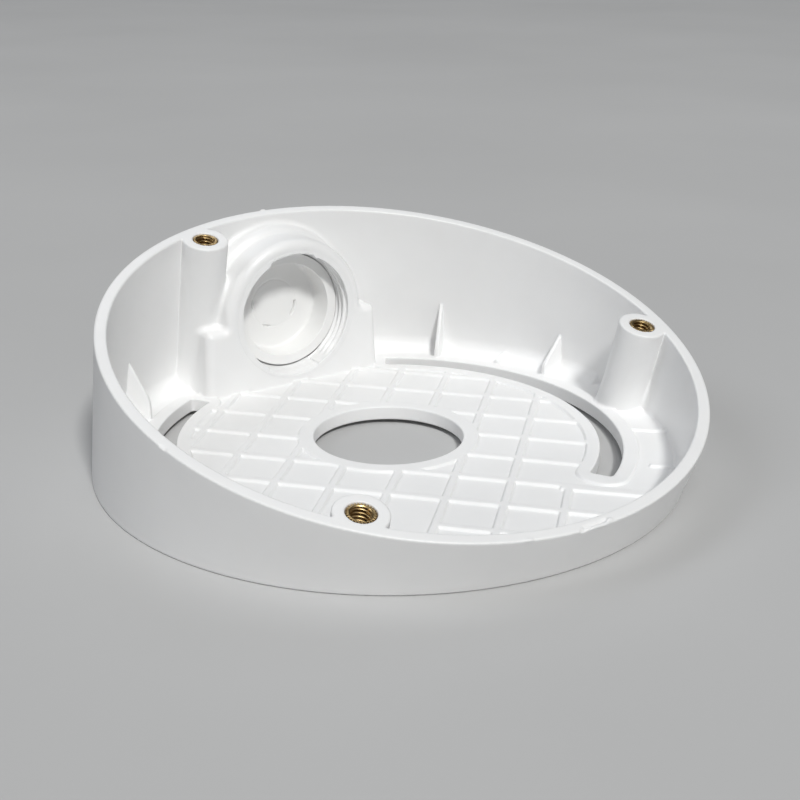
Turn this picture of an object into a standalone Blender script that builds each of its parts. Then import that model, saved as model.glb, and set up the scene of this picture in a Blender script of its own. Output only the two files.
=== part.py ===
"""Inclined mounting base for a small round camera: a one-piece moulded wedge
ring with a ribbed floor, three bosses with threaded brass inserts, and a
conduit entry in the high side that is closed by a hollow screw plug.

Metres, +Z up.  The high side, with the conduit entry, is at +Y.  The shape is
worked out in millimetres about the centre of the foot circle, and the finished
pieces are then moved so that the origin is on the plane the base stands on,
in the middle of its bounding box.  Run with
    blender --background --python part.py
"""

import math

import bmesh
import bpy
from mathutils import Matrix, Vector

# ------------------------------------------------------------------ sizes --
MM = 0.001

BASE_R = 55.0            # foot circle and rim circle have the same radius
TILT = math.radians(15)  # the rim plane rises towards +Y
AXIS_H = 24.4            # rim centre above the foot centre, along the tilted axis
RIM_IN = 52.8            # inner edge of the rim face
WALL_IN = 52.4           # inner face of the wall at the foot

FLOOR_UNDER = 0.9        # underside of the floor; the foot ring stands below it
FOOT_IN = 51.4           # inner edge of the foot ring
FLOOR_LOW = 3.1          # bottom of the shallow pockets
FLOOR_TOP = 3.7          # tops of the ribs, the centre ring and the slot borders
FILLET = 2.4             # between wall and floor

HOLE_R = 14.1            # centre cable hole
RING_R = 17.0            # raised ring around it

RIB_T = 1.3
RIB_PITCH = 10.04
RIB_A_OFF = 4.35         # ribs across the (1, 1) diagonal
RIB_B_OFF = 5.3          # ribs along the (1, 1) diagonal

SLOT_IN, SLOT_OUT = 39.6, 43.8
SLOT_A0, SLOT_A1 = -59.2, 58.0      # right-hand slot, degrees from +X
BORDER_IN, BORDER_OUT = 37.1, 46.6
BORDER_A0, BORDER_A1 = -65.2, 62.3
BORDER_CORNER = 2.8

# Bosses, 120 degrees apart within a degree: radius and angle in the rim plane.
BOSSES = ((49.75, 111.1), (49.5, -11.1), (50.4, -130.5))
BOSS_R = 4.5
BOSS_ROUND = 0.35        # bevel on the free part of the top edge
BOSS_HOLE_R = 2.75
BOSS_HOLE_DEPTH = 8.2
INSERT_R = 2.42
INSERT_BORE_R = 1.8      # mean radius of the M4 x 0.7 thread, drawn plain
INSERT_LEN = 6.0
INSERT_SUNK = 0.12       # below the rim plane

PORT_Z = 18.0
PORT_BORE_R = 12.35      # between crest and root of the M25 x 1.5 thread, drawn plain
PORT_MOUTH_R = 12.8
PORT_FACE_Y = 34.9
COLLAR_R = 15.7
COLLAR_ROUND = 1.6
HOOD_R = 17.1
HOOD_FACE_Y = 41.3
BLOCK_LEFT, BLOCK_RIGHT = 20.5, 19.6
BLOCK_TOP = 17.2
BLOCK_CORNER = 2.0

PLUG_R = 12.0             # the same, for the thread on the plug
PLUG_IN_Y = 39.2         # end of the plug that is seen from inside the bowl
PLUG_OUT_Y = 47.4
PLUG_CUP_R = 9.7
PLUG_CUP_Y = 45.0
PLUG_CUP_FILLET = 2.0
COIN_SLOT = (13.0, 2.2, 1.2)   # length, width, depth

# (azimuth, top at the wall, radius of the inner end, height of the inner end,
#  radius of the wall at the top)
GUSSETS = (
    (43.8, 14.6, 45.3, 4.7, 50.2),
    (12.3, 11.4, 46.5, 5.7, 51.9),
    (138.0, 15.2, 46.5, 7.5, 50.25),
    (167.7, 11.4, 46.5, 5.7, 51.9),
)
GUSSET_T = 1.2           # at the floor, thinning to the tip
GUSSET_TIP_T = 0.8
LOW_RIBS = ((27.0, 46.8, 4.6), (153.0, 46.8, 4.6))   # azimuth, inner radius, top
# short straight ribs on the low outer floor: (v, w start, w end), with
# v = (x + y) / sqrt 2 and w = (x - y) / sqrt 2
SHORT_RIBS = ((13.1, 43.5, 54.0), (-3.7, 48.8, 56.0), (-16.9, 34.0, 58.0))

N_WALL = 96
N_HOLE = 64

# --------------------------------------------------------------- clearing --
for old in list(bpy.data.objects):
    bpy.data.objects.remove(old, do_unlink=True)
for old in list(bpy.data.meshes):
    if not old.users:
        bpy.data.meshes.remove(old)

NORMAL = Vector((0.0, -math.sin(TILT), math.cos(TILT)))   # of the rim plane
UPHILL = Vector((0.0, math.cos(TILT), math.sin(TILT)))    # in the rim plane
RIM_C = NORMAL * AXIS_H
# The low edge of the rim overhangs the foot; this centres the bounding box.
SHIFT_Y = (AXIS_H * math.sin(TILT) + BASE_R * math.cos(TILT) - BASE_R) / 2


# ---------------------------------------------------------------- helpers --
def new_object(name, verts, faces):
    """A mesh object from points in millimetres."""
    mesh = bpy.data.meshes.new(name)
    mesh.from_pydata([Vector(v) * MM for v in verts], [], faces)
    mesh.validate()
    bm = bmesh.new()
    bm.from_mesh(mesh)
    bmesh.ops.recalc_face_normals(bm, faces=bm.faces)
    bm.to_mesh(mesh)
    bm.free()
    obj = bpy.data.objects.new(name, mesh)
    bpy.context.collection.objects.link(obj)
    return obj


def skin(name, rings):
    """A closed solid through rings of equal count, capped at both ends."""
    n = len(rings[0])
    verts = [p for ring in rings for p in ring]
    faces = []
    for k in range(len(rings) - 1):
        a, b = k * n, (k + 1) * n
        for i in range(n):
            j = (i + 1) % n
            faces.append((a + i, a + j, b + j, b + i))
    faces.append(tuple(range(n))[::-1])
    faces.append(tuple(range((len(rings) - 1) * n, len(rings) * n)))
    return new_object(name, verts, faces)


def prism(name, outline, z0, z1):
    return skin(name, [[(x, y, z0) for x, y in outline], [(x, y, z1) for x, y in outline]])


def lathe(name, profile, origin, axis, n):
    """A solid of revolution: profile is (radius, height) from the axis out
    and back, first and last points on the axis or closed on itself."""
    axis = Vector(axis).normalized()
    side = axis.orthogonal().normalized()
    other = axis.cross(side)
    verts, faces, index = [], [], []
    for r, h in profile:
        base = Vector(origin) + axis * h
        if r < 1e-9:
            index.append([len(verts)] * n)
            verts.append(base)
        else:
            row = []
            for i in range(n):
                a = 2 * math.pi * i / n
                row.append(len(verts))
                verts.append(base + (side * math.cos(a) + other * math.sin(a)) * r)
            index.append(row)
    closed = profile[0][0] > 1e-9
    spans = list(range(len(profile) - 1)) + ([len(profile) - 1] if closed else [])
    for k in spans:
        a, b = index[k], index[(k + 1) % len(profile)]
        for i in range(n):
            j = (i + 1) % n
            loop = []
            for v in (a[i], a[j], b[j], b[i]):
                if v not in loop:
                    loop.append(v)
            if len(loop) > 2:
                faces.append(tuple(loop))
    return new_object(name, verts, faces)


def boolean(target, tool, operation):
    """Applies one exact Boolean to target and removes the tool."""
    mod = target.modifiers.new(operation, "BOOLEAN")
    mod.object = tool
    mod.operation = operation
    mod.solver = "EXACT"
    graph = bpy.context.evaluated_depsgraph_get()
    mesh = bpy.data.meshes.new_from_object(target.evaluated_get(graph))
    target.modifiers.clear()
    old = target.data
    mesh.name = old.name
    target.data = mesh
    bpy.data.meshes.remove(old)
    bpy.data.objects.remove(tool, do_unlink=True)
    bm = bmesh.new()
    bm.from_mesh(target.data)
    bmesh.ops.remove_doubles(bm, verts=bm.verts, dist=2e-6)
    bmesh.ops.dissolve_degenerate(bm, edges=bm.edges, dist=1e-6)
    bm.to_mesh(target.data)
    bm.free()


def merge_objects(name, objs):
    """Several separate solids as one mesh object."""
    bm = bmesh.new()
    for obj in objs:
        bm.from_mesh(obj.data)
        bpy.data.objects.remove(obj, do_unlink=True)
    mesh = bpy.data.meshes.new(name)
    bm.to_mesh(mesh)
    bm.free()
    out = bpy.data.objects.new(name, mesh)
    bpy.context.collection.objects.link(out)
    return out


def polar(r, deg):
    a = math.radians(deg)
    return (r * math.cos(a), r * math.sin(a))


def wall_point(radius_foot, radius_rim, phi, t):
    """On the straight line from the foot circle to the rim circle."""
    foot = Vector((radius_foot * math.cos(phi), radius_foot * math.sin(phi), 0.0))
    rim = RIM_C + Vector((radius_rim * math.cos(phi), 0, 0)) + UPHILL * (radius_rim * math.sin(phi))
    return foot.lerp(rim, t)


def sector(r0, r1, a0, a1, corner=0.0, step=3.0):
    """Outline of a ring sector with optional rounded corners."""
    n = max(2, int(abs(a1 - a0) / step))
    inner, outer = [], []
    if corner:
        k = 5
        deg0, deg1 = math.degrees(corner / r0), math.degrees(corner / r1)
        for i in range(n + 1):
            inner.append(polar(r0, a0 + deg0 + (a1 - a0 - 2 * deg0) * i / n))
            outer.append(polar(r1, a0 + deg1 + (a1 - a0 - 2 * deg1) * i / n))

        def arc(r, sgn_r, end, sgn_a):
            pts = []
            for i in range(1, k):
                th = math.pi / 2 * i / k
                rr = r + sgn_r * corner * (1 - math.cos(th))
                aa = end + sgn_a * math.degrees(corner * (1 - math.sin(th)) / r)
                pts.append(polar(rr, aa))
            return pts
        # inner edge a0 -> a1, corner, outer edge a1 -> a0, corner
        return (inner + arc(r0, 1, a1, -1) + arc(r1, -1, a1, -1)[::-1]
                + outer[::-1] + arc(r1, -1, a0, 1) + arc(r0, 1, a0, 1)[::-1])
    for i in range(n + 1):
        inner.append(polar(r0, a0 + (a1 - a0) * i / n))
        outer.append(polar(r1, a0 + (a1 - a0) * i / n))
    return inner + outer[::-1]


def circle(r, n=N_HOLE):
    return [polar(r, 360.0 * i / n) for i in range(n)]


def bar(v0, v1, w0, w1):
    """Rectangle given in the diagonal coordinates v and w."""
    s = math.sqrt(0.5)
    return [((v + w) * s, (v - w) * s) for v, w in ((v0, w0), (v1, w0), (v1, w1), (v0, w1))]


# ---------------------------------------------------------------- cavity ---
def wall_at_height(radius_foot, radius_rim, phi, z, inset=0.0):
    top = wall_point(radius_foot, radius_rim, phi, 1.0).z
    p = wall_point(radius_foot, radius_rim, phi, z / top)
    flat = Vector((p.x, p.y, 0.0))
    flat -= flat.normalized() * inset
    return (flat.x, flat.y, z)


angles = [2 * math.pi * i / N_WALL for i in range(N_WALL)]
rings = []
for k in range(5):
    th = math.pi / 2 * k / 4
    z = FLOOR_LOW + FILLET * (1 - math.cos(th))
    inset = FILLET * (1 - math.sin(th))
    rings.append([wall_at_height(WALL_IN, RIM_IN, a, z, inset) for a in angles])
rings.append([tuple(wall_point(WALL_IN, RIM_IN, a, 1.2)) for a in angles])
cavity = skin("cavity", rings)

# Rib network, ring and slot borders stand in the floor of the cavity.
REACH = 60.0
count = range(-5, 6)
bars_a = merge_objects("bars_a", [
    prism("a", bar(RIB_A_OFF + RIB_PITCH * k - RIB_T / 2, RIB_A_OFF + RIB_PITCH * k + RIB_T / 2, -REACH, REACH),
          FLOOR_LOW - 0.7, FLOOR_TOP) for k in count])
bars_b = merge_objects("bars_b", [
    prism("b", bar(-REACH, REACH, RIB_B_OFF + RIB_PITCH * k - RIB_T / 2, RIB_B_OFF + RIB_PITCH * k + RIB_T / 2),
          FLOOR_LOW - 0.7, FLOOR_TOP) for k in count])
network = bars_a
boolean(network, bars_b, "UNION")
# Ribs end in the slot borders, and on the low side they run to the wall.
low_a, low_b = BORDER_A0 + 3.0, -180.0 - (BORDER_A0 + 3.0)
outline = [polar(58.0, low_a + (low_b - low_a) * i / 16) for i in range(17)]
outline += [polar(38.0, low_b - (360.0 - (low_a - low_b)) * i / 72) for i in range(1, 72)]
keep = prism("keep", outline, FLOOR_LOW - 2.0, FLOOR_TOP + 2.0)
boolean(network, keep, "INTERSECT")
boolean(network, prism("ring", circle(RING_R), FLOOR_LOW - 0.7, FLOOR_TOP), "UNION")
for side in (1, -1):
    pts = sector(BORDER_IN, BORDER_OUT, BORDER_A0, BORDER_A1, BORDER_CORNER)
    if side < 0:
        pts = [(-x, y) for x, y in pts][::-1]
    boolean(network, prism("border", pts, FLOOR_LOW - 0.7, FLOOR_TOP), "UNION")
for side in (1, -1):
    for v, w0, w1 in SHORT_RIBS:
        pts = bar(v - 0.55, v + 0.55, w0, w1)
        if side < 0:
            pts = [(-x, y) for x, y in pts][::-1]
        boolean(network, prism("short", pts, FLOOR_LOW - 0.7, FLOOR_TOP - 0.02), "UNION")
boolean(cavity, network, "DIFFERENCE")

# Gussets and low ribs against the wall.
def radial_plate(name, az, profile):
    """A plate in the radial plane at az; profile is (radius, z, thickness)."""
    a = math.radians(az)
    rad = Vector((math.cos(a), math.sin(a), 0))
    tan = Vector((-math.sin(a), math.cos(a), 0))
    rings_ = []
    for s in (-0.5, 0.5):
        rings_.append([tuple(rad * r + tan * (s * thick) + Vector((0, 0, z))) for r, z, thick in profile])
    return skin(name, rings_)


for az, top, r_in, z_in, r_wall in GUSSETS:
    # Thickness falls with height only, so that both flanks stay flat.
    lean = (GUSSET_T - GUSSET_TIP_T) / (top - FLOOR_LOW)

    def thick(z):
        return GUSSET_T - lean * (z - FLOOR_LOW)

    points = [(r_in, FLOOR_LOW - 0.9), (r_in, z_in), (r_wall, top), (56.0, top + 0.3), (56.0, FLOOR_LOW - 0.9)]
    boolean(cavity, radial_plate("gusset", az, [(r, z, thick(z)) for r, z in points]), "DIFFERENCE")
for az, r_in, top in LOW_RIBS:
    points = [(r_in, FLOOR_LOW - 0.9), (r_in, top), (56.0, top + 0.3), (56.0, FLOOR_LOW - 0.9)]
    boolean(cavity, radial_plate("low_rib", az, [(r, z, GUSSET_T) for r, z in points]), "DIFFERENCE")

# Conduit entry: a block with shoulders, a round collar and a larger hood.
def rounded_block():
    pts = []
    for cx, cy, a0 in ((BLOCK_RIGHT, PORT_FACE_Y, 270.0), (-BLOCK_LEFT, PORT_FACE_Y, 180.0)):
        ox = cx - math.copysign(BLOCK_CORNER, cx)
        oy = cy + BLOCK_CORNER
        arc = []
        for i in range(6):
            a = a0 + 90.0 * i / 5
            dx, dy = polar(BLOCK_CORNER, a)
            arc.append((ox + dx, oy + dy))
        pts.append(arc)
    right, left = pts
    return [(BLOCK_RIGHT, 58.0), (-BLOCK_LEFT, 58.0)] + left + right


boolean(cavity, prism("block", rounded_block(), FLOOR_LOW - 0.8, BLOCK_TOP), "DIFFERENCE")
port_axis = Vector((0, 1, 0))
collar_profile = [(0.0, PORT_FACE_Y)]
for i in range(6):
    th = math.pi / 2 * i / 5
    collar_profile.append((COLLAR_R - COLLAR_ROUND * (1 - math.sin(th)),
                           PORT_FACE_Y + 0.02 + COLLAR_ROUND * (1 - math.cos(th))))
collar_profile += [(COLLAR_R, 60.0), (0.0, 60.0)]
boolean(cavity, lathe("collar", collar_profile, (0, 0, PORT_Z), port_axis, N_HOLE), "DIFFERENCE")
hood_profile = [(0.0, HOOD_FACE_Y), (HOOD_R - 0.8, HOOD_FACE_Y), (HOOD_R - 0.24, HOOD_FACE_Y + 0.24),
                (HOOD_R, HOOD_FACE_Y + 0.8), (HOOD_R, 61.0), (0.0, 61.0)]
boolean(cavity, lathe("hood", hood_profile, (0, 0, PORT_Z), port_axis, 72), "DIFFERENCE")

# Bosses, square to the rim plane.
boss_tops = []
for radius, deg in BOSSES:
    a = math.radians(deg)
    boss_tops.append(RIM_C + Vector((radius * math.cos(a), 0, 0)) + UPHILL * (radius * math.sin(a)))
for top in boss_tops:
    down = (top.z - FLOOR_LOW) / math.cos(TILT) + 1.5
    profile = [(0.0, -down), (BOSS_R, -down), (BOSS_R, -BOSS_ROUND), (BOSS_R - BOSS_ROUND, 0.0),
               (BOSS_R - BOSS_ROUND, 14.0), (0.0, 14.0)]
    boolean(cavity, lathe("boss", profile, top, NORMAL, 40), "DIFFERENCE")

# ----------------------------------------------------------------- shell ---
shell = skin("base_shell", [
    [tuple(wall_point(BASE_R, BASE_R, a, 0.0)) for a in angles],
    [tuple(wall_point(BASE_R, BASE_R, a, 1.0)) for a in angles]])
boolean(shell, cavity, "DIFFERENCE")
boolean(shell, prism("recess", circle(FOOT_IN, N_WALL), -2.0, FLOOR_UNDER), "DIFFERENCE")
boolean(shell, prism("hole", circle(HOLE_R), -3.0, 8.0), "DIFFERENCE")
for side in (1, -1):
    pts = sector(SLOT_IN, SLOT_OUT, SLOT_A0, SLOT_A1)
    if side < 0:
        pts = [(-x, y) for x, y in pts][::-1]
    boolean(shell, prism("slot", pts, -3.0, FLOOR_TOP + 0.5), "DIFFERENCE")

bore_profile = [(0.0, PORT_FACE_Y - 3.0), (PORT_MOUTH_R, PORT_FACE_Y - 3.0), (PORT_MOUTH_R, PORT_FACE_Y),
                (PORT_BORE_R, PORT_FACE_Y + 0.7), (PORT_BORE_R, 62.0), (0.0, 62.0)]
boolean(shell, lathe("bore", bore_profile, (0, 0, PORT_Z), port_axis, N_HOLE), "DIFFERENCE")
for top in boss_tops:
    profile = [(0.0, -BOSS_HOLE_DEPTH), (BOSS_HOLE_R, -BOSS_HOLE_DEPTH), (BOSS_HOLE_R, 4.0), (0.0, 4.0)]
    boolean(shell, lathe("pilot", profile, top, NORMAL, 36), "DIFFERENCE")

# --------------------------------------------------------------- inserts ---
insert_names = ("insert_back_left", "insert_right", "insert_front_left")
chamfer = 0.25
insert_profile = [
    (INSERT_BORE_R + chamfer, 0.0), (INSERT_R - 0.1, 0.0), (INSERT_R, -0.1),
    (INSERT_R, -INSERT_LEN + 0.4), (INSERT_R - 0.4, -INSERT_LEN),
    (INSERT_BORE_R, -INSERT_LEN), (INSERT_BORE_R, -chamfer)]
inserts = []
for name, top in zip(insert_names, boss_tops):
    inserts.append(lathe(name, insert_profile, top - NORMAL * INSERT_SUNK, NORMAL, 36))

# ------------------------------------------------------------------ plug ---
plug_profile = [(0.0, PLUG_OUT_Y), (PLUG_R - 0.5, PLUG_OUT_Y), (PLUG_R, PLUG_OUT_Y - 0.5),
                (PLUG_R, PLUG_IN_Y + 0.3), (PLUG_R - 0.3, PLUG_IN_Y), (PLUG_CUP_R + 0.2, PLUG_IN_Y),
                (PLUG_CUP_R, PLUG_IN_Y + 0.2)]
for i in range(5):
    th = math.pi / 2 * i / 4
    plug_profile.append((PLUG_CUP_R - PLUG_CUP_FILLET * (1 - math.cos(th)),
                         PLUG_CUP_Y - PLUG_CUP_FILLET * (1 - math.sin(th))))
plug_profile.append((0.0, PLUG_CUP_Y))
plug = lathe("port_plug", plug_profile, (0, 0, PORT_Z), port_axis, N_HOLE)
length, width, depth = COIN_SLOT
slot_cut = skin("coin", [
    [(x, PLUG_OUT_Y - depth, PORT_Z + z) for x, z in
     ((-length / 2, -width / 2), (length / 2, -width / 2), (length / 2, width / 2), (-length / 2, width / 2))],
    [(x, PLUG_OUT_Y + 2.0, PORT_Z + z) for x, z in
     ((-length / 2, -width / 2), (length / 2, -width / 2), (length / 2, width / 2), (-length / 2, width / 2))]])
boolean(plug, slot_cut, "DIFFERENCE")

# ------------------------------------------------------- origins, shading ---
def set_origin(obj, point):
    """Puts the object's origin at a point of its own mesh (millimetres), and
    the object where it belongs in the centred frame."""
    p = Vector(point) * MM
    obj.data.transform(Matrix.Translation(-p))
    obj.location = p + Vector((0.0, SHIFT_Y * MM, 0.0))


def material(name, colour, roughness, metallic):
    mat = bpy.data.materials.new(name)
    mat.use_nodes = True
    bsdf = mat.node_tree.nodes["Principled BSDF"]
    bsdf.inputs["Base Color"].default_value = (*colour, 1.0)
    bsdf.inputs["Roughness"].default_value = roughness
    bsdf.inputs["Metallic"].default_value = metallic
    return mat


white = material("white_moulded_plastic", (0.86, 0.86, 0.855), 0.42, 0.0)
plug_white = material("plug_white_plastic", (0.84, 0.84, 0.83), 0.40, 0.0)
brass = material("insert_brass", (0.62, 0.43, 0.19), 0.32, 1.0)

set_origin(shell, (0, 0, 0))
set_origin(plug, (0, PLUG_IN_Y, PORT_Z))
for obj, top in zip(inserts, boss_tops):
    set_origin(obj, top)
for obj, mat in ((shell, white), (plug, plug_white), *((i, brass) for i in inserts)):
    obj.data.materials.clear()
    obj.data.materials.append(mat)
    obj.data.shade_smooth()
    obj.data.set_sharp_from_angle(angle=math.radians(28))
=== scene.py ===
"""Looks for the inclined camera mounting base.

The moulding is drawn as one distance field, so that every junction has the
soft fillet of a moulded part, and is then meshed.  The brass inserts, the
thread of the conduit entry and the screw plug are turned meshes.  Shapes are
worked out in millimetres about the centre of the foot circle, like the
construction they stand on, and moved into the frame at the end.
"""

import math

import bpy
import numpy as np
from mathutils import Matrix, Vector


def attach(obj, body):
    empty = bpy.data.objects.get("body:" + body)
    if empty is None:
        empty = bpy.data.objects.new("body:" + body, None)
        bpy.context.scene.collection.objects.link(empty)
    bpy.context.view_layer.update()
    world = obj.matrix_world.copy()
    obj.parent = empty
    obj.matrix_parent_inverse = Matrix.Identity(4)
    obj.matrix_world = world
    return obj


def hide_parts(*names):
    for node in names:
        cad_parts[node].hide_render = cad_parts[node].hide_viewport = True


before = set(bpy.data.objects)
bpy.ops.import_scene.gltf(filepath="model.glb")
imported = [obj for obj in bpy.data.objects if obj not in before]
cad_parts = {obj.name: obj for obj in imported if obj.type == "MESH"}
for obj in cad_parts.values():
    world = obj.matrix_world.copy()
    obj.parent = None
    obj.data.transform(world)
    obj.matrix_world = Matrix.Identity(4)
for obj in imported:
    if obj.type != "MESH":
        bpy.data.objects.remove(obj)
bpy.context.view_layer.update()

# ------------------------------------------------------------------ sizes --
MM = 0.001
BASE_R = 55.0
TILT = math.radians(15)
AXIS_H = 24.4
RIM_IN = 52.8
WALL_IN = 52.4
FLOOR_UNDER = 0.9
FOOT_IN = 51.4
FLOOR_LOW = 3.2
FLOOR_TOP = 3.7
HOLE_R = 14.1
RING_R = 17.0
RIB_T = 1.3
RIB_PITCH = 10.04
RIB_A_OFF = 4.35
RIB_B_OFF = 5.3
SLOT_IN, SLOT_OUT = 39.6, 43.8
SLOT_A0, SLOT_A1 = -59.2, 58.0
BORDER_IN, BORDER_OUT = 37.1, 46.6
BORDER_A0, BORDER_A1 = -65.2, 62.3
BOSSES = ((49.75, 111.1), (49.5, -11.1), (50.4, -130.5))
BOSS_R = 4.5
BOSS_HOLE_DEPTH = 8.2
INSERT_R = 2.42
INSERT_LEN = 6.0
INSERT_SUNK = 0.12
PORT_Z = 18.0
PORT_FACE_Y = 34.9
COLLAR_R = 15.7
HOOD_X, HOOD_R = -0.5, 17.1
HOOD_FACE_Y = 41.3
BLOCK_LEFT, BLOCK_RIGHT = 20.5, 19.6
BLOCK_TOP = 17.2
THREAD_PITCH = 1.5
PLUG_IN_Y = 39.2
PLUG_OUT_Y = 47.4
PLUG_CUP_R = 9.7
PLUG_CUP_Y = 45.0
GUSSETS = (
    (43.8, 14.6, 45.3, 4.7, 50.2),
    (12.3, 11.4, 46.5, 5.7, 51.9),
    (138.0, 15.2, 46.5, 7.5, 50.25),
    (167.7, 11.4, 46.5, 5.7, 51.9),
)
LOW_RIBS = ((27.0, 46.8, 4.6), (153.0, 46.8, 4.6))
SHORT_RIBS = ((13.1, 43.5, 54.0), (-3.7, 48.8, 56.0), (-16.9, 34.0, 58.0))

SA, CA = math.sin(TILT), math.cos(TILT)
NORMAL = np.array([0.0, -SA, CA])
UPHILL = np.array([0.0, CA, SA])
RIM_C = NORMAL * AXIS_H
SHIFT_Y = (AXIS_H * SA + BASE_R * CA - BASE_R) / 2
VOXEL = 0.21


def to_frame(points):
    """Millimetres about the foot centre to metres in the row frame."""
    p = np.array(points, np.float64)
    p[:, 1] += SHIFT_Y
    return (p * MM).astype(np.float32)


def boss_top(radius, deg):
    a = math.radians(deg)
    return RIM_C + np.array([radius * math.cos(a), 0, 0]) + UPHILL * (radius * math.sin(a))


# -------------------------------------------------------- distance fields --
def union(a, b, r):
    """Joins two solids with a concave fillet of radius r."""
    return np.maximum(r, np.minimum(a, b)) - np.sqrt(np.maximum(r - a, 0) ** 2 + np.maximum(r - b, 0) ** 2)


def common(a, b, r):
    """Keeps what two solids share, with the edge between them rounded."""
    return np.minimum(-r, np.maximum(a, b)) + np.sqrt(np.maximum(r + a, 0) ** 2 + np.maximum(r + b, 0) ** 2)


def cut(a, b, r):
    """Cuts b out of a and rounds the edge."""
    return common(a, -b, r)


def smooth(e0, e1, x):
    t = np.clip((x - e0) / (e1 - e0), 0, 1)
    return t * t * (3 - 2 * t)


gx = np.arange(-55.0 - 4 * VOXEL, 55.0 + 4.5 * VOXEL, VOXEL, dtype=np.float32)
gy = np.arange(-59.5 - 4 * VOXEL, 55.0 + 4.5 * VOXEL, VOXEL, dtype=np.float32)
gz = np.arange(-3 * VOXEL + 0.07, 37.9 + 4 * VOXEL, VOXEL, dtype=np.float32)
LOW = np.array([gx[0], gy[0], gz[0]])


def block(lo, hi):
    """Slices of the grid that cover a box, and its coordinates."""
    s, c = [], []
    for axis, (a, b) in enumerate(zip(lo, hi)):
        g = (gx, gy, gz)[axis]
        i0 = int(np.clip(np.searchsorted(g, a) - 1, 0, len(g)))
        i1 = int(np.clip(np.searchsorted(g, b) + 1, 0, len(g)))
        s.append(slice(i0, i1))
        shape = [1, 1, 1]
        shape[axis] = i1 - i0
        c.append(g[i0:i1].reshape(shape))
    return tuple(s), c[0], c[1], c[2]


# Every straight line of the wall runs from the foot circle to the rim circle.
# For each (y, z), `spine` is the y of the line's foot.
yy, zz = np.meshgrid(gy.astype(np.float64), gz.astype(np.float64), indexing="ij")
spine = yy.copy()
for _ in range(40):
    rise = zz / (AXIS_H * CA + spine * SA)
    spine = (yy + rise * AXIS_H * SA) / (1 - rise * (1 - CA))
rise = zz / (AXIS_H * CA + spine * SA)
dy_, dz_ = np.gradient(spine, VOXEL, VOXEL)
slope2 = (dy_ ** 2 + dz_ ** 2).astype(np.float32)[None]
spine32 = spine.astype(np.float32)[None]
X = gx[:, None, None]
rho = np.sqrt(X ** 2 + spine32 ** 2) + 1e-6
stretch = np.sqrt((X / rho) ** 2 + (spine32 / rho) ** 2 * slope2)
d_out = (rho - BASE_R) / stretch
wall_in = (WALL_IN + (RIM_IN - WALL_IN) * rise).astype(np.float32)[None]
d_in = (rho - wall_in) / stretch
del rho, stretch
d_rim = (-SA * gy[:, None] + CA * gz[None] - AXIS_H).astype(np.float32)[None]


# Floor: ribs, centre ring and slot borders stand above shallow pockets.
fx, fy = gx[:, None].astype(np.float64), gy[None].astype(np.float64)
fr = np.hypot(fx, fy)
root2 = math.sqrt(0.5)
fv, fw = (fx + fy) * root2, (fx - fy) * root2


def nearest(value, offset):
    return np.abs((value - offset + RIB_PITCH / 2) % RIB_PITCH - RIB_PITCH / 2)


def ends(a0, a1, side):
    """Distance past the ends of a sector that straddles the +X or -X side."""
    x = fx * side
    b1, b0 = math.radians(a1), math.radians(a0)
    return np.maximum(-x * math.sin(b1) + fy * math.cos(b1), x * math.sin(b0) - fy * math.cos(b0))


# these run about a degree off the diagonal
ribs_v = nearest(fv + 0.02 * (fw - 30), RIB_A_OFF) - RIB_T / 2
ribs_v = np.maximum(ribs_v, np.where(fv < -32, 15.3 - fw, -50.0))
ribs_w = np.maximum(nearest(fw, RIB_B_OFF) - RIB_T / 2, fw - 42.0)
ribs_w = np.maximum(ribs_w, np.where((fw > 30) & (fx > 0), fv + 16.4, -50.0))
ribs = union(ribs_v, ribs_w, 0.3)
half = math.radians(90 + BORDER_A0 + 3.0)
low_side = np.abs(fx) * math.cos(half) + fy * math.sin(half)
ribs = np.maximum(ribs, np.minimum(fr - 38.0, np.maximum(low_side, fr - 60.0)))
raised = union(ribs, fr - RING_R, 0.3)
for side in (1, -1):
    x = fx * side
    low_end = BORDER_A0 + 1.2 if side > 0 else -57.6
    band = common(np.maximum(BORDER_IN - fr, fr - BORDER_OUT), ends(low_end, BORDER_A1, side), 4.2)
    band = np.where(x > -5, band, 50.0)
    raised = union(raised, band, 0.3)
    v, w = (x + fy) * root2, (x - fy) * root2
    for v0, w0, w1 in SHORT_RIBS if side > 0 else SHORT_RIBS[:2]:
        raised = np.minimum(raised, np.maximum(np.abs(v - v0) - 0.5, np.maximum(w0 - w, w - w1)))
floor_z = FLOOR_LOW + (FLOOR_TOP - FLOOR_LOW) * (1 - smooth(-0.08, 0.20, raised))

# Cavity of the bowl: its foot is crisp on the low side and rounded on the high
# side.  The rounding stops short beside the right-hand boss.
corner = 0.5 + 2.9 * smooth(-14, 8, fy + 0 * fx) * np.where(fx > 0, smooth(0.1, 0.7, fy), 1.0)
corner = corner.astype(np.float32)[:, :, None]
d_floor = (floor_z.astype(np.float32)[:, :, None] - gz[None, None])
solid = -common(d_in, d_floor, corner)
del d_in, d_floor

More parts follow.
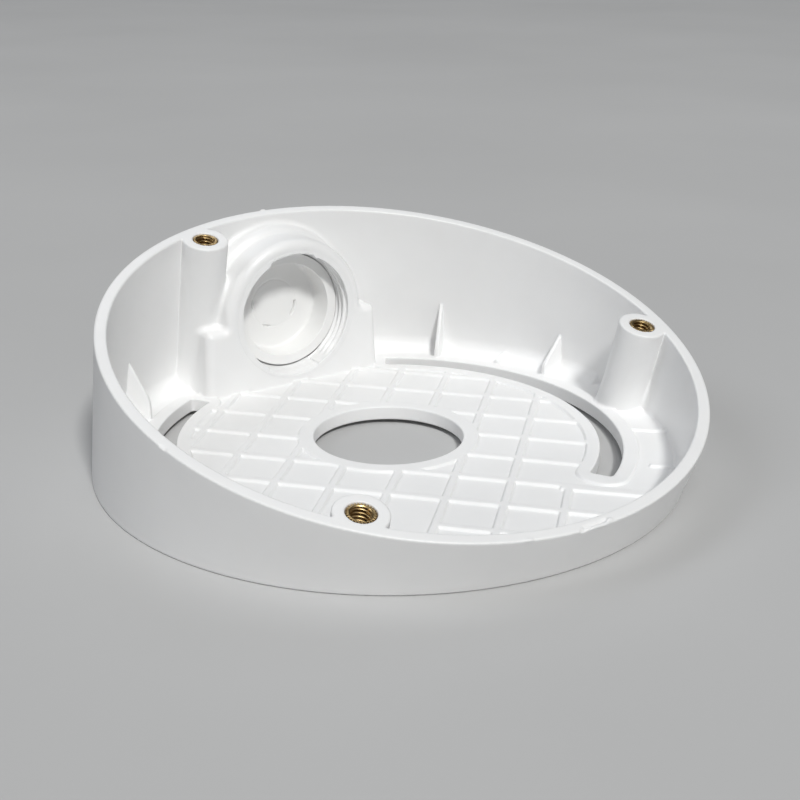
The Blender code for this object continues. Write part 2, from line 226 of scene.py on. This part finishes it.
# Bosses, square to the rim plane, flared at the foot.
tops = [boss_top(*b) for b in BOSSES]
for n, top in enumerate(tops):
    foot = top - NORMAL * (top[2] / CA)
    lo = np.minimum(top, foot) - 10
    hi = np.maximum(top, foot) + 10
    hi[2] = top[2] + 3
    s, x, y, z = block(lo, hi)
    px, py, pz = x - top[0], y - top[1], z - top[2]
    along = py * NORMAL[1] + pz * NORMAL[2]
    radial = np.sqrt(px ** 2 + (py - along * NORMAL[1]) ** 2 + (pz - along * NORMAL[2]) ** 2)
    grow = 0.35 * smooth(6.0, 0.0, z - FLOOR_TOP)
    boss = radial - (BOSS_R + grow) + 0 * x
    neck = (0.25, 0.3, 0.25)[n]
    a = math.radians(BOSSES[n][1])
    outward = smooth(-3.5, 3.5, px * math.cos(a) + py * math.sin(a))
    if n == 1:
        outward = outward * smooth(3.0, -1.0, py)
    flare = (0.7, 0.6, 0.6)[n] + (0.2, 1.4, 0.4)[n] * outward
    r = neck + (flare - neck) * smooth(7.0, 0.5, z - FLOOR_TOP)
    solid[s] = union(solid[s], boss.astype(np.float32), r.astype(np.float32))

# Conduit entry: a block with shoulders and a round collar share one front
# face, and a larger hood stands behind them.
s, x, y, z = block((-26, 30, -2), (26, 56, 39))
side_x = np.maximum(x - BLOCK_RIGHT, -x - BLOCK_LEFT) - (0.5 - 0.055 * z)
outline = common(side_x + 0 * z, z - BLOCK_TOP + 0 * x, 1.3)
ring = np.sqrt(x ** 2 + (z - PORT_Z) ** 2)
outline = union(outline, ring - COLLAR_R, 0.9)
entry = common(outline, PORT_FACE_Y - y + 0 * x, 1.7)
hood_ring = np.sqrt((x - HOOD_X) ** 2 + (z - PORT_Z) ** 2)
hood = common(hood_ring - HOOD_R, HOOD_FACE_Y - y + 0 * x, 1.8)
entry = union(entry, hood, 0.5).astype(np.float32)
solid[s] = union(solid[s], entry, (0.3 + 0.9 * smooth(4.5, 9.0, z)).astype(np.float32))

# Gussets and low ribs against the wall.
def plate(az, r_in, z_in, r_wall, top, thick, tip):
    a = math.radians(az)
    c, q = math.cos(a), math.sin(a)
    mid = np.array([c * 50, q * 50, 8.0])
    s, x, y, z = block(mid - (8, 8, 12), mid + (8, 8, 12))
    along = x * c + y * q
    across = np.abs(-x * q + y * c)
    flat = across - (thick - (thick - tip) * np.clip((z - FLOOR_LOW) / (top - FLOOR_LOW), 0, 1)) / 2
    n = math.hypot(top - z_in, r_wall - r_in)
    slant = (z - z_in) * (r_wall - r_in) / n - (along - r_in) * (top - z_in) / n
    shape = common(flat, common(r_in - along, slant, 0.5), 0.2)
    solid[s] = union(solid[s], shape.astype(np.float32), np.float32(0.15))


for az, top, r_in, z_in, r_wall in GUSSETS:
    plate(az, r_in, z_in, r_wall, top, 1.05, 0.65)
for az, r_in, top in LOW_RIBS:
    plate(az, r_in, top, 56.0, top + 0.4, 1.15, 0.95)

# Outside, foot and rim.
body = common(d_out, np.broadcast_to(d_rim, d_out.shape), np.float32(0.32))
del d_out
body = common(body, (-gz)[None, None] + 0 * body, np.float32(0.35))
solid = common(body, solid, np.float32(0.3))
del body

# Wear of the rim: a rubbed patch, two burrs and a nick.
def on_rim(deg, radius):
    a = math.radians(deg)
    return RIM_C + np.array([radius * math.cos(a), 0, 0]) + UPHILL * (radius * math.sin(a))


for deg, radius, up, half_w, size, sign in (
        (-91.0, 54.35, 0.10, 1.7, 0.42, -1), (-93.3, 54.9, -0.05, 0.25, 0.40, -1),
        (-90.0, 54.75, -0.20, 1.3, 0.30, 1), (-87.7, 54.45, -0.10, 0.35, 0.38, 1),
        (-88.9, 54.1, 0.12, 0.5, 0.34, -1), (-103.25, 54.8, -0.10, 0.5, 0.26, 1),
        (91.0, 54.85, -0.12, 0.30, 0.30, 1), (-166.0, 54.9, 0.10, 0.5, 0.40, -1)):
    at = on_rim(deg, radius) + NORMAL * up
    a = math.radians(deg + 90)
    t = np.array([math.cos(a), 0, 0]) + UPHILL * math.sin(a)
    s, x, y, z = block(at - 4, at + 4)
    ax, ay, az_ = x - at[0], y - at[1], z - at[2]
    along = ax * t[0] + ay * t[1] + az_ * t[2]
    off = np.maximum(np.abs(along) - half_w, 0)
    dist = np.sqrt(np.maximum(ax ** 2 + ay ** 2 + az_ ** 2 - along ** 2, 0) + off ** 2) - size
    dist = dist.astype(np.float32)
    solid[s] = union(solid[s], dist, np.float32(0.1)) if sign > 0 else cut(solid[s], dist, np.float32(0.12))

# Recess under the floor, cable hole, slots, pilot holes, entry bore.
s, x, y, z = block((-56, -60, -2), (56, 56, 5))
r2 = np.sqrt(x ** 2 + y ** 2)
solid[s] = cut(solid[s], np.maximum(r2 - FOOT_IN, z - FLOOR_UNDER).astype(np.float32), np.float32(0.3))
s, x, y, z = block((-18, -18, -2), (18, 18, 8))
solid[s] = cut(solid[s], (np.sqrt(x ** 2 + y ** 2) - HOLE_R + 0 * z).astype(np.float32), np.float32(0.3))
for side in (1, -1):
    s, x, y, z = block((-50, -50, -2), (50, 50, 8))
    i, j = s[0], s[1]
    band = np.maximum(SLOT_IN - fr, fr - SLOT_OUT)
    slot = common(band, ends(SLOT_A0, SLOT_A1, side), 0.7)
    slot = np.where(fx * side > 0, slot, 50.0)[i, j]
    solid[s] = cut(solid[s], np.broadcast_to(slot.astype(np.float32)[:, :, None], solid[s].shape), np.float32(0.25))
for top in tops:
    s, x, y, z = block(top - 12, top + 5)
    px, py, pz = x - top[0], y - top[1], z - top[2]
    along = py * NORMAL[1] + pz * NORMAL[2]
    radial = np.sqrt(px ** 2 + (py - along * NORMAL[1]) ** 2 + (pz - along * NORMAL[2]) ** 2)
    hole = np.maximum(radial - (INSERT_R + 0.08), -along - BOSS_HOLE_DEPTH)
    solid[s] = cut(solid[s], hole.astype(np.float32), np.float32(0.12))
s, x, y, z = block((-16, 28, 0), (16, 57, 34))
bore = np.sqrt(x ** 2 + (z - PORT_Z) ** 2) - 13.3 + 0 * y
solid[s] = cut(solid[s], bore.astype(np.float32), np.float32(0.05))


# ---------------------------------------------------------------- meshing --
CORNERS = [(i, j, k) for i in (0, 1) for j in (0, 1) for k in (0, 1)]
EDGES = [(a, b) for a in range(8) for b in range(a + 1, 8)
         if sum(abs(p - q) for p, q in zip(CORNERS[a], CORNERS[b])) == 1]


def sample(field, p):
    """Value and gradient of a field at points given in cell units."""
    n = np.array(field.shape) - 2
    i = np.clip(np.floor(p).astype(np.int64), 0, n)
    f = (p - i).astype(np.float32)
    v = [field[i[:, 0] + a, i[:, 1] + b, i[:, 2] + c] for a, b, c in CORNERS]
    x, y, z = f[:, 0], f[:, 1], f[:, 2]
    x0, y0, z0 = 1 - x, 1 - y, 1 - z
    val = (x0 * (y0 * (z0 * v[0] + z * v[1]) + y * (z0 * v[2] + z * v[3]))
           + x * (y0 * (z0 * v[4] + z * v[5]) + y * (z0 * v[6] + z * v[7])))
    gxx = y0 * (z0 * (v[4] - v[0]) + z * (v[5] - v[1])) + y * (z0 * (v[6] - v[2]) + z * (v[7] - v[3]))
    gyy = x0 * (z0 * (v[2] - v[0]) + z * (v[3] - v[1])) + x * (z0 * (v[6] - v[4]) + z * (v[7] - v[5]))
    gzz = x0 * (y0 * (v[1] - v[0]) + y * (v[3] - v[2])) + x * (y0 * (v[5] - v[4]) + y * (v[7] - v[6]))
    return val, np.stack([gxx, gyy, gzz], 1)


def net(field, low, step):
    """Closed quad mesh of the zero surface; the solid is where the field is negative."""
    field = np.ascontiguousarray(field, np.float32)
    inside = field < 0
    count = inside.astype(np.uint8)
    count = count[:-1] + count[1:]
    count = count[:, :-1] + count[:, 1:]
    count = count[:, :, :-1] + count[:, :, 1:]
    cells = np.flatnonzero((count > 0) & (count < 8))
    shape = count.shape
    del count
    ijk = np.stack(np.unravel_index(cells, shape), 1)
    v = [field[ijk[:, 0] + a, ijk[:, 1] + b, ijk[:, 2] + c] for a, b, c in CORNERS]
    total = np.zeros((len(cells), 3), np.float32)
    hits = np.zeros(len(cells), np.float32)
    for a, b in EDGES:
        crossed = (v[a] < 0) != (v[b] < 0)
        t = np.where(crossed, v[a] / np.where(crossed, v[a] - v[b], 1), 0)
        pa, pb = np.array(CORNERS[a], np.float32), np.array(CORNERS[b], np.float32)
        total += np.where(crossed[:, None], pa + (pb - pa) * t[:, None], 0)
        hits += crossed
    p = ijk + total / hits[:, None]
    for _ in range(3):
        val, grad = sample(field, p)
        g2 = (grad ** 2).sum(1) + 1e-9
        move = -(val / g2)[:, None] * grad
        size = np.sqrt((move ** 2).sum(1)) + 1e-9
        p = p + move * np.minimum(1, 0.4 / size)[:, None]
    p = np.clip(p, ijk - 0.3, ijk + 1.3)

    number = np.full(shape, -1, np.int32)
    number.ravel()[cells] = np.arange(len(cells), dtype=np.int32)
    quads = []
    for axis in range(3):
        b, c = (axis + 1) % 3, (axis + 2) % 3
        lo = [slice(None)] * 3
        hi = [slice(None)] * 3
        lo[axis], hi[axis] = slice(None, -1), slice(1, None)
        for q in (b, c):
            lo[q] = hi[q] = slice(1, -1)
        first, second = inside[tuple(lo)], inside[tuple(hi)]
        at = np.argwhere(first != second)
        leaving = first[tuple(at.T)]
        at[:, b] += 1
        at[:, c] += 1
        corner = []
        for db, dc in ((-1, -1), (0, -1), (0, 0), (-1, 0)):
            q = at.copy()
            q[:, b] += db
            q[:, c] += dc
            corner.append(number[tuple(q.T)])
        quad = np.stack(corner, 1)
        quad[~leaving] = quad[~leaving][:, ::-1]
        quads.append(quad)
    quads = np.concatenate(quads)
    return p * step + np.asarray(low, np.float64), quads


def mesh_of(name, points, faces):
    """Mesh in the frame's metres from millimetre points and equal-sided faces."""
    mesh = bpy.data.meshes.new(name)
    n = faces.shape[1]
    mesh.vertices.add(len(points))
    mesh.vertices.foreach_set("co", to_frame(points).ravel())
    mesh.loops.add(faces.size)
    mesh.loops.foreach_set("vertex_index", faces.ravel().astype(np.int32))
    mesh.polygons.add(len(faces))
    mesh.polygons.foreach_set("loop_start", (np.arange(len(faces)) * n).astype(np.int32))
    mesh.polygons.foreach_set("loop_total", np.full(len(faces), n, np.int32))
    mesh.update(calc_edges=True)
    mesh.validate()
    return mesh


def area_normals(mesh):
    """Smooth normals in which the big flat triangles outweigh the thin ones."""
    nv = len(mesh.vertices)
    co = np.empty(nv * 3, np.float32)
    mesh.vertices.foreach_get("co", co)
    co = co.reshape(-1, 3).astype(np.float64)
    tri = np.empty(len(mesh.loops), np.int32)
    mesh.loops.foreach_get("vertex_index", tri)
    tri = tri.reshape(-1, 3)
    a, b, c = co[tri[:, 0]], co[tri[:, 1]], co[tri[:, 2]]
    n = np.cross(b - a, c - a)
    out = np.zeros((nv, 3))
    for k in range(3):
        for q in range(3):
            out[:, q] += np.bincount(tri[:, k], n[:, q], nv)
    size = np.linalg.norm(out, axis=1)
    out = out / np.where(size > 1e-20, size, 1)[:, None]
    mesh.shade_smooth()
    mesh.normals_split_custom_set_from_vertices(out.astype(np.float32).tolist())


def thin(obj, target):
    """Collapses a dense mesh to about `target` triangles and leaves triangles."""
    mesh = obj.data
    mod = obj.modifiers.new("thin", "DECIMATE")
    mod.ratio = min(1.0, target / (2.0 * len(mesh.polygons)))
    mod.use_collapse_triangulate = True
    graph = bpy.context.evaluated_depsgraph_get()
    graph.update()
    new = bpy.data.meshes.new_from_object(obj.evaluated_get(graph))
    obj.modifiers.clear()
    obj.data = new
    bpy.data.meshes.remove(mesh)
    new.name = obj.name
    drop_bad_faces(obj)
    area_normals(new)


def drop_bad_faces(obj):
    import bmesh
    bm = bmesh.new()
    bm.from_mesh(obj.data)
    bmesh.ops.dissolve_degenerate(bm, dist=1e-7, edges=bm.edges)
    bmesh.ops.triangulate(bm, faces=[f for f in bm.faces if len(f.verts) > 3])
    loose = [v for v in bm.verts if not v.link_faces]
    bmesh.ops.delete(bm, geom=loose, context="VERTS")
    bm.to_mesh(obj.data)
    bm.free()


def add(name, mesh):
    obj = bpy.data.objects.new(name, mesh)
    bpy.context.scene.collection.objects.link(obj)
    return obj


points, quads = net(solid, LOW, VOXEL)
shell = add("shell_moulding", mesh_of("shell_moulding", points, quads))
print("shell quads", len(quads))
del solid
thin(shell, 194000)
print("shell triangles", len(shell.data.polygons))
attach(shell, "base")
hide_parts("base_shell")


def small_grid(lo, hi, step):
    axes = [np.arange(a - 3 * step + 0.37 * step, b + 3.5 * step, step, dtype=np.float32) for a, b in zip(lo, hi)]
    low = np.array([g[0] for g in axes])
    return low, axes[0][:, None, None], axes[1][None, :, None], axes[2][None, None, :]


def helix(angle, along, pitch, starts=1):
    """Distance along the axis to the nearest crest of a right-hand thread."""
    phase = along / pitch - angle / (2 * math.pi) * starts
    return np.abs(phase - np.round(phase)) * pitch


# ----------------------------------------- thread of the conduit entry --
# A sleeve let into the entry carries the mouth's edge and the female thread.
# The edge is ragged at the top, where flash was broken off, and the thread is
# interrupted past an axial step low in the bore.
step = 0.1
low, x, y, z = small_grid((-13.65, 34.8, 4.35), (13.65, 48.2, 31.65), step)
r = np.sqrt(x ** 2 + (z - PORT_Z) ** 2)
angle = np.arctan2(z - PORT_Z, x)
deg = np.degrees(angle)
off = helix(angle, y - 35.0, THREAD_PITCH)
crest, root = 12.05, 12.6
threaded = crest + (root - crest) * smooth(0.12, 0.56, off)
threaded = np.maximum(threaded, 12.62 - 1.1 * np.maximum(y - 35.5, 0))
threaded = np.maximum(threaded, 12.62 - 0.9 * np.maximum(47.9 - y, 0))
plain = 12.38 - 0.03 * (y - 34.9)
plain = plain * smooth(40.6, 39.2, y) + threaded * smooth(39.2, 40.6, y)
on = smooth(-67.4, -66.6, deg) * smooth(121, 117, deg)
# turns run out into a smooth lead at both ends of the visible part
fade = smooth(-58, -46, deg) * smooth(52, 34, deg)
fade = fade + (1 - fade) * smooth(39.0, 39.8, y)
threaded = 12.6 + (threaded - 12.6) * fade
inner = plain + (threaded - plain) * on
inner = inner + 0.32 * np.exp(-((deg + 66.6) / 0.9) ** 2) * smooth(39.4, 39.0, y)


def spike(at, width):
    return np.exp(-((deg - at) / width) ** 2)


torn = smooth(118.5, 116.0, deg) * smooth(65.0, 68.5, deg)
low_side = smooth(-122.5, -121.0, deg) * smooth(-66.2, -67.4, deg)
left_side = smooth(117.0, 119.5, deg) + smooth(-121.0, -122.5, deg)
lip = 12.52 - 0.12 * np.cos(angle) + 0.26 * low_side - 0.34 * left_side
lip = lip + torn * (0.32 + 0.05 * np.sin(deg * 0.9) + 0.04 * np.sin(deg * 2.3 + 1.0))
lip = lip - 0.34 * spike(116.6, 1.7) - 0.22 * spike(99.0, 1.3) - 0.36 * spike(67.6, 1.9) - 0.10 * spike(83.0, 2.0)
inner = lip + (inner - lip) * smooth(35.0, 35.45 + 0.9 * low_side, y)
wall = (inner - r) * 0.85
sleeve = common(wall, np.maximum(r - 13.5, np.maximum(34.885 - y, y - 48.0)), 0.05)
points, quads = net(sleeve, low, step)
thread = add("entry_thread", mesh_of("entry_thread", points, quads))
print("thread quads", len(quads))
thin(thread, 110000)
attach(thread, "base")
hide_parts("base_shell")

# ------------------------------------------------------------ screw plug --
low, x, y, z = small_grid((-12.1, 39.1, 5.9), (12.1, 47.5, 30.1), step)
dx, dz = x, z - PORT_Z
r = np.sqrt(dx ** 2 + dz ** 2)
angle = np.arctan2(dz, dx)
off = helix(angle, y - 35.75, THREAD_PITCH)
outer = 11.93 - 0.5 * smooth(0.16, 0.62, off) * smooth(39.7, 40.2, y) * smooth(47.2, 46.8, y)
body = (r - outer) * 0.85
body = common(body, np.maximum(PLUG_IN_Y - y, y - PLUG_OUT_Y) + 0 * x, 0.14)
# cup, with a faint turned circle and gate marks in its floor
hollow_r = PLUG_CUP_R + 0.03 * (PLUG_CUP_Y - y)
around = np.degrees(angle)
marks = 0 * around
for a0, a1, depth in ((-38, -3, 0.85), (-119, -101, 0.5), (166, 180, 0.3), (-180, -172, 0.3)):
    marks = marks + depth * smooth(a0 - 3, a0 + 2, around) * smooth(a1 + 3, a1 - 2, around)
floor = PLUG_CUP_Y + (0.05 + marks) * np.exp(-((r - 5.1) / 0.19) ** 2) + 0 * y
cup = common(r - hollow_r, np.maximum(y - floor, -50 + 0 * y), 0.6)
body = cut(body, cup, 0.1)
# coin slot in the outer face
coin = common(np.abs(dx) - 6.5 + 0 * dz, np.abs(dz) - 1.1 + 0 * dx, 0.3)
coin = np.maximum(coin, (PLUG_OUT_Y - 1.2) - y)
body = cut(body, coin + 0 * y, 0.15)
points, quads = net(body, low, step)
plug = add("plug_body", mesh_of("plug_body", points, quads))
print("plug quads", len(quads))
thin(plug, 110000)
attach(plug, "plug")
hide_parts("port_plug")

# -------------------------------------------------------- brass inserts --
step = 0.045
low, x, y, z = small_grid((-2.5, -2.5, -INSERT_LEN), (2.5, 2.5, 0.0), step)
r = np.sqrt(x ** 2 + y ** 2)
angle = np.arctan2(y, x)
knurl = np.abs(((angle * 27 / (2 * math.pi)) % 1) - 0.5) * 2
knurl = 0.30 * smooth(0.1, 1.0, knurl)
# two knurled bands with a plain neck between them
band = smooth(-2.75, -2.62, z) + smooth(-3.38, -3.5, z) * smooth(-5.62, -5.5, z)
shank = INSERT_R - 0.02 - knurl * (0.35 + 0.65 * np.clip(band, 0, 1)) - 0.3 * (1 - np.clip(band, 0, 1))
body = (r - shank) * 0.8
body = common(body, np.maximum(z, -INSERT_LEN - z) + 0 * x, 0.06)
off = helix(angle, z, 0.7)
bore_r = 1.66 + 0.36 * smooth(0.10, 0.33, off)
bore_r = np.maximum(bore_r, 1.86 + z * 1.2)
bore_r = np.maximum(bore_r, 2.04 - (z + INSERT_LEN - 0.32) * 0.9)
body = cut(body, (r - bore_r) * 0.75, 0.03)
points, quads = net(body, low, step)
print("insert quads", len(quads))
names = (("insert_left_rear", "insert_back_left"), ("insert_right_side", "insert_right"),
         ("insert_front", "insert_front_left"))
for n, (top, (name, node)) in enumerate(zip(tops, names)):
    turn = math.radians((20, 205, 118)[n])
    axis = np.array([0.0, NORMAL[1], NORMAL[2]])
    u = np.array([1.0, 0, 0])
    v = np.cross(axis, u)
    ux = u * math.cos(turn) + v * math.sin(turn)
    vx = np.cross(axis, ux)
    placed = (top - axis * INSERT_SUNK) + points[:, :1] * ux + points[:, 1:2] * vx + points[:, 2:3] * axis
    obj = add(name, mesh_of(name, placed, quads))
    thin(obj, 45000)
    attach(obj, "base")
    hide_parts(node)


# -------------------------------------------------------------- materials --
def material(name):
    mat = bpy.data.materials.new(name)
    mat.use_nodes = True
    nodes, links = mat.node_tree.nodes, mat.node_tree.links
    nodes.clear()
    out = nodes.new("ShaderNodeOutputMaterial")
    bsdf = nodes.new("ShaderNodeBsdfPrincipled")
    links.new(bsdf.outputs["BSDF"], out.inputs["Surface"])
    coord = nodes.new("ShaderNodeTexCoord")
    return mat, nodes, links, bsdf, coord


def noise(nodes, links, coord, scale, detail, rough, dist=0.0, stretch=None):
    n = nodes.new("ShaderNodeTexNoise")
    n.inputs["Scale"].default_value = scale
    n.inputs["Detail"].default_value = detail
    n.inputs["Roughness"].default_value = rough
    n.inputs["Distortion"].default_value = dist
    if stretch:
        m = nodes.new("ShaderNodeMapping")
        m.inputs["Scale"].default_value = stretch
        links.new(coord.outputs["Object"], m.inputs["Vector"])
        links.new(m.outputs["Vector"], n.inputs["Vector"])
    else:
        links.new(coord.outputs["Object"], n.inputs["Vector"])
    return n


def ramp(nodes, links, source, stops):
    r = nodes.new("ShaderNodeValToRGB")
    while len(r.color_ramp.elements) < len(stops):
        r.color_ramp.elements.new(0.5)
    for el, (pos, col) in zip(r.color_ramp.elements, stops):
        el.position = pos
        el.color = (*col, 1) if len(col) == 3 else col
    links.new(source, r.inputs["Fac"])
    return r


def grey(v):
    return (v, v, v)


def bump(nodes, links, height, strength, distance, below=None):
    b = nodes.new("ShaderNodeBump")
    b.inputs["Strength"].default_value = strength
    b.inputs["Distance"].default_value = distance
    links.new(height, b.inputs["Height"])
    if below is not None:
        links.new(below.outputs["Normal"], b.inputs["Normal"])
    return b


def white_plastic(name, tint, low, high):
    mat, nodes, links, bsdf, coord = material(name)
    broad = noise(nodes, links, coord, 38.0, 4.0, 0.55)
    links.new(ramp(nodes, links, broad.outputs["Fac"], (
        (0.32, tuple(low * t for t in tint)),
        (0.68, tuple(high * t for t in tint)))).outputs["Color"], bsdf.inputs["Base Color"])
    patch = noise(nodes, links, coord, 160.0, 5.0, 0.6, 0.3)
    links.new(ramp(nodes, links, patch.outputs["Fac"], (
        (0.30, grey(0.36)), (0.55, grey(0.44)), (0.75, grey(0.54)))).outputs["Color"],
        bsdf.inputs["Roughness"])
    grain = noise(nodes, links, coord, 3200.0, 3.0, 0.6)
    wave = noise(nodes, links, coord, 210.0, 2.0, 0.5)
    b1 = bump(nodes, links, grain.outputs["Fac"], 0.12, 0.00004)
    b2 = bump(nodes, links, wave.outputs["Fac"], 0.10, 0.00025, b1)
    links.new(b2.outputs["Normal"], bsdf.inputs["Normal"])
    bsdf.inputs["IOR"].default_value = 1.5
    bsdf.inputs["Subsurface Weight"].default_value = 0.12
    bsdf.inputs["Subsurface Radius"].default_value = (1.0, 0.95, 0.9)
    bsdf.inputs["Subsurface Scale"].default_value = 0.0012
    return mat


def brass(name):
    mat, nodes, links, bsdf, coord = material(name)
    tone = noise(nodes, links, coord, 900.0, 4.0, 0.6)
    links.new(ramp(nodes, links, tone.outputs["Fac"], (
        (0.30, (0.38, 0.26, 0.12)), (0.55, (0.62, 0.45, 0.22)), (0.80, (0.80, 0.62, 0.36)))).outputs["Color"],
        bsdf.inputs["Base Color"])
    rough = noise(nodes, links, coord, 2600.0, 4.0, 0.6)
    links.new(ramp(nodes, links, rough.outputs["Fac"], (
        (0.3, grey(0.26)), (0.7, grey(0.48)))).outputs["Color"], bsdf.inputs["Roughness"])
    turned = noise(nodes, links, coord, 5200.0, 3.0, 0.6)
    b = bump(nodes, links, turned.outputs["Fac"], 0.25, 0.00003)
    links.new(b.outputs["Normal"], bsdf.inputs["Normal"])
    bsdf.inputs["Metallic"].default_value = 1.0
    return mat


shell_white = white_plastic("moulded_white", (1.0, 1.0, 1.0), 0.86, 0.90)
plug_white = white_plastic("plug_white", (1.0, 0.998, 0.99), 0.86, 0.90)
insert_metal = brass("turned_brass")
shell.data.materials.append(shell_white)
thread.data.materials.append(shell_white)
plug.data.materials.append(plug_white)
for name, _ in names:
    bpy.data.objects[name].data.materials.append(insert_metal)

# ------------------------------------------------------------------ floor --
floor_mesh = bpy.data.meshes.new("floor")
size = 12.0
floor_mesh.from_pydata([(-size, -size, 0), (size, -size, 0), (size, size, 0), (-size, size, 0)], [], [(0, 1, 2, 3)])
floor = add("floor", floor_mesh)
mat, nodes, links, bsdf, coord = material("pale_floor")
tone = noise(nodes, links, coord, 6.0, 5.0, 0.5)
links.new(ramp(nodes, links, tone.outputs["Fac"], (
    (0.3, (0.50, 0.50, 0.50)), (0.7, (0.53, 0.53, 0.53)))).outputs["Color"], bsdf.inputs["Base Color"])
bsdf.inputs["Roughness"].default_value = 0.75
bsdf.inputs["Specular IOR Level"].default_value = 0.25
floor.data.materials.append(mat)

# ----------------------------------------------------------------- lights --
world = bpy.data.worlds.new("studio")
bpy.context.scene.world = world
world.use_nodes = True
world.node_tree.nodes["Background"].inputs["Color"].default_value = (0.86, 0.92, 1.0, 1)
world.node_tree.nodes["Background"].inputs["Strength"].default_value = 0.05


def softbox(name, place, aim, width, height, power, colour=(1, 1, 1)):
    data = bpy.data.lights.new(name, "AREA")
    data.shape = "RECTANGLE"
    data.size, data.size_y = width, height
    data.energy = power
    data.color = colour
    obj = bpy.data.objects.new(name, data)
    bpy.context.scene.collection.objects.link(obj)
    obj.location = place
    obj.rotation_euler = (Vector(aim) - Vector(place)).to_track_quat("-Z", "Y").to_euler()
    return obj


def studio(name, azimuth, elevation, distance, size, power, colour=(1, 1, 1)):
    a, e = math.radians(azimuth), math.radians(elevation)
    place = Vector((math.cos(e) * math.cos(a), math.cos(e) * math.sin(a), math.sin(e))) * distance
    return softbox(name, place, (0, 0, 0.015), size, size, power * (distance / 2.2) ** 2, colour)


# The power of each light is what it would need at 2.2 m.
studio("key", -103, 46, 7.0, 0.75, 32.0, (1.0, 1.0, 0.985))
studio("front", -112, 62, 7.0, 2.6, 9.0, (1.0, 1.0, 0.985))
studio("back_left", 155, 45, 6.0, 2.4, 8.5, (0.92, 0.95, 1.0))
studio("back_right", 60, 45, 6.0, 2.4, 4.0, (0.92, 0.95, 1.0))

# ----------------------------------------------------------------- camera --
cam_data = bpy.data.cameras.new("photo_view")
cam_data.lens = 58.5
cam_data.sensor_width = 36.0
cam_data.clip_start = 0.01
cam = bpy.data.objects.new("photo_view", cam_data)
bpy.context.scene.collection.objects.link(cam)
forward = Vector((0.5138, 0.7791, -0.3591)).normalized()
flat_right = forward.cross(Vector((0, 0, 1))).normalized()
flat_up = flat_right.cross(forward).normalized()
roll = math.radians(0.2634)
right = flat_right * math.cos(roll) + flat_up * math.sin(roll)
up = flat_up * math.cos(roll) - flat_right * math.sin(roll)
rot = Matrix((right, up, -forward)).transposed().to_4x4()
cam.matrix_world = Matrix.Translation((-0.1232, -0.1907 + SHIFT_Y * MM, 0.0979)) @ rot
bpy.context.scene.camera = cam
bpy.context.scene.view_settings.view_transform = "Standard"
bpy.context.scene.view_settings.look = "None"
